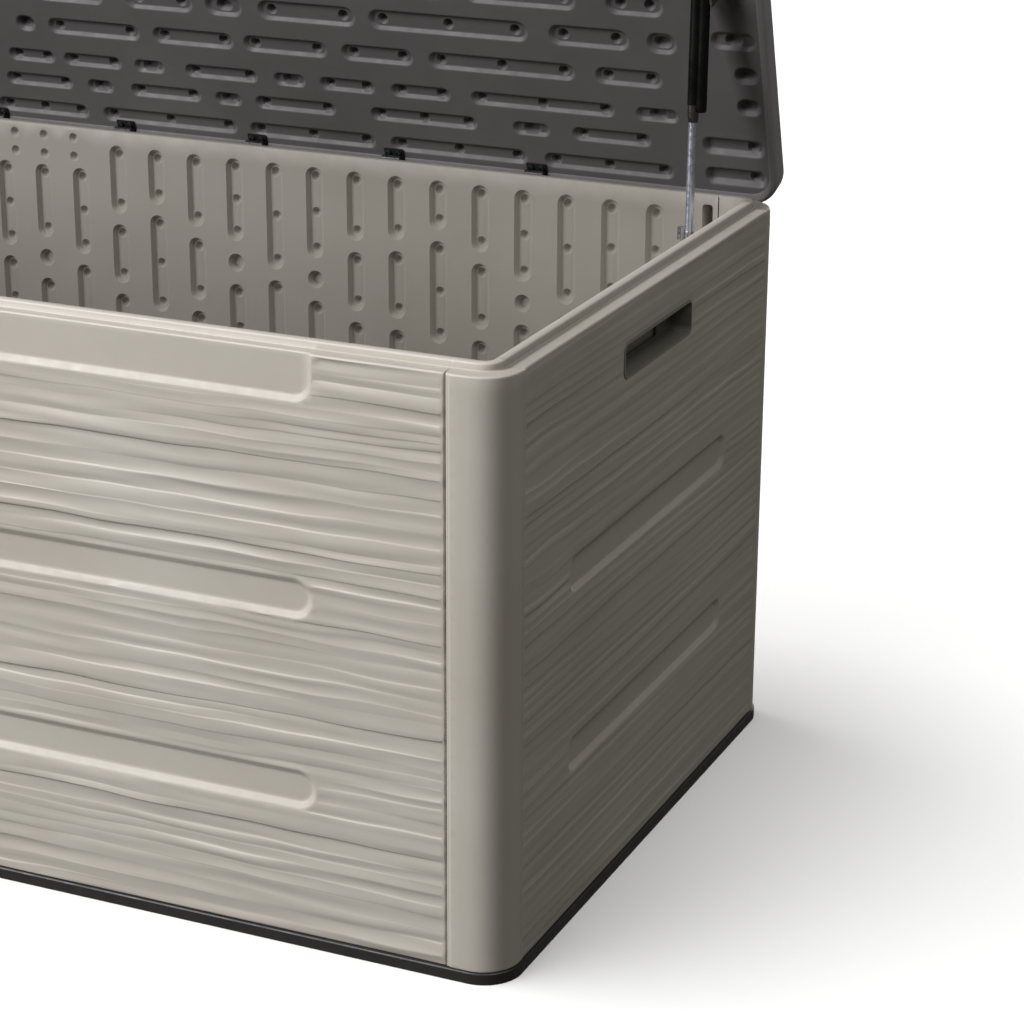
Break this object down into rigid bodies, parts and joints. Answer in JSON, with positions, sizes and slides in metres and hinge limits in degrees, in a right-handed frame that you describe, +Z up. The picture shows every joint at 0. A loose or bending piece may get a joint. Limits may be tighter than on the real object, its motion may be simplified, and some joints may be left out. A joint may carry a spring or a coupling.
{
  "type": "deck storage box",
  "caption": "Outdoor deck storage box with wood-grain panels, round corner posts, black base tray, side handle cups and a hinged lid on gas struts.",
  "frame": {"origin": "middle of the underside of the base tray", "axes": "+X to the right seen from the front, +Y to the back where the hinges are, +Z up"},
  "size_m": [1.516, 0.7698, 1.3254],
  "materials": {
    "body_plastic": "satin wood-grain moulding",
    "lid_plastic": "satin dark grey moulding",
    "base_plastic": "satin black moulding",
    "cup_plastic": "satin grey-brown moulding",
    "tube_paint": "gloss black paint",
    "hinge_paint": "black powder coat",
    "rod_chrome": "polished",
    "fitting_steel": "bright zinc",
    "bracket_steel": "zinc plated",
    "pin_steel": "turned",
    "screw_steel": "zinc plated"
  },
  "bodies": {
    "box": {"base_tray": "base_plastic", "front_panel": "body_plastic", "back_panel": "body_plastic", "left_side_panel": "body_plastic", "right_side_panel": "body_plastic", "front_left_post": "body_plastic", "front_right_post": "body_plastic", "rear_left_post": "body_plastic", "rear_right_post": "body_plastic", "left_handle_cup": "cup_plastic", "right_handle_cup": "cup_plastic", "hinge_1_box_leaf": "hinge_paint", "hinge_2_box_leaf": "hinge_paint", "hinge_3_box_leaf": "hinge_paint", "hinge_4_box_leaf": "hinge_paint", "hinge_5_box_leaf": "hinge_paint", "hinge_6_box_leaf": "hinge_paint", "hinge_1_pin": "pin_steel", "hinge_2_pin": "pin_steel", "hinge_3_pin": "pin_steel", "hinge_4_pin": "pin_steel", "hinge_5_pin": "pin_steel", "hinge_6_pin": "pin_steel", "hinge_box_screws": "screw_steel", "strut_box_screws": "screw_steel", "left_strut_foot_bracket": "bracket_steel", "left_strut_foot_stud": "fitting_steel", "right_strut_foot_bracket": "bracket_steel", "right_strut_foot_stud": "fitting_steel"},
    "lid": {"lid_shell": "lid_plastic", "hinge_1_lid_leaf": "hinge_paint", "hinge_2_lid_leaf": "hinge_paint", "hinge_3_lid_leaf": "hinge_paint", "hinge_4_lid_leaf": "hinge_paint", "hinge_5_lid_leaf": "hinge_paint", "hinge_6_lid_leaf": "hinge_paint", "hinge_lid_screws": "screw_steel", "strut_lid_screws": "screw_steel", "left_strut_head_bracket": "bracket_steel", "right_strut_head_bracket": "bracket_steel"},
    "left_rod": {"left_strut_rod": "rod_chrome", "left_strut_foot_eye": "fitting_steel"},
    "left_tube": {"left_strut_tube": "tube_paint", "left_strut_gland": "fitting_steel", "left_strut_head_eye": "fitting_steel", "left_strut_head_stud": "fitting_steel"},
    "right_rod": {"right_strut_rod": "rod_chrome", "right_strut_foot_eye": "fitting_steel"},
    "right_tube": {"right_strut_tube": "tube_paint", "right_strut_gland": "fitting_steel", "right_strut_head_eye": "fitting_steel", "right_strut_head_stud": "fitting_steel"}
  },
  "joints": [
    {"name": "lid_hinge", "type": "hinge", "parent": "box", "child": "lid", "pos_m": [0, 0.372, 0.614], "axis": [1, 0, 0], "range_deg": [0, 72], "stiffness_Nm_per_rad": 9, "springref_deg": -97.4},
    {"name": "left_strut_swing", "type": "hinge", "parent": "box", "child": "left_rod", "pos_m": [-0.684, 0.277, 0.577], "axis": [1, 0, 0], "range_deg": [0, 81.7]},
    {"name": "left_strut_slide", "type": "slide", "parent": "left_rod", "child": "left_tube", "axis": [0, 0.024, 0.9997], "range_m": [-0.1143, 0]},
    {"name": "right_strut_swing", "type": "hinge", "parent": "box", "child": "right_rod", "pos_m": [0.684, 0.277, 0.577], "axis": [1, 0, 0], "range_deg": [0, 81.7]},
    {"name": "right_strut_slide", "type": "slide", "parent": "right_rod", "child": "right_tube", "axis": [0, 0.024, 0.9997], "range_m": [-0.1143, 0]}
  ],
  "couplings": [
    {"joint": "left_strut_swing", "follows": "lid_hinge", "ratio": 1.1337},
    {"joint": "left_strut_slide", "follows": "lid_hinge", "m_per_rad": -0.090945},
    {"joint": "right_strut_swing", "follows": "lid_hinge", "ratio": 1.1337},
    {"joint": "right_strut_slide", "follows": "lid_hinge", "m_per_rad": -0.090945}
  ]
}
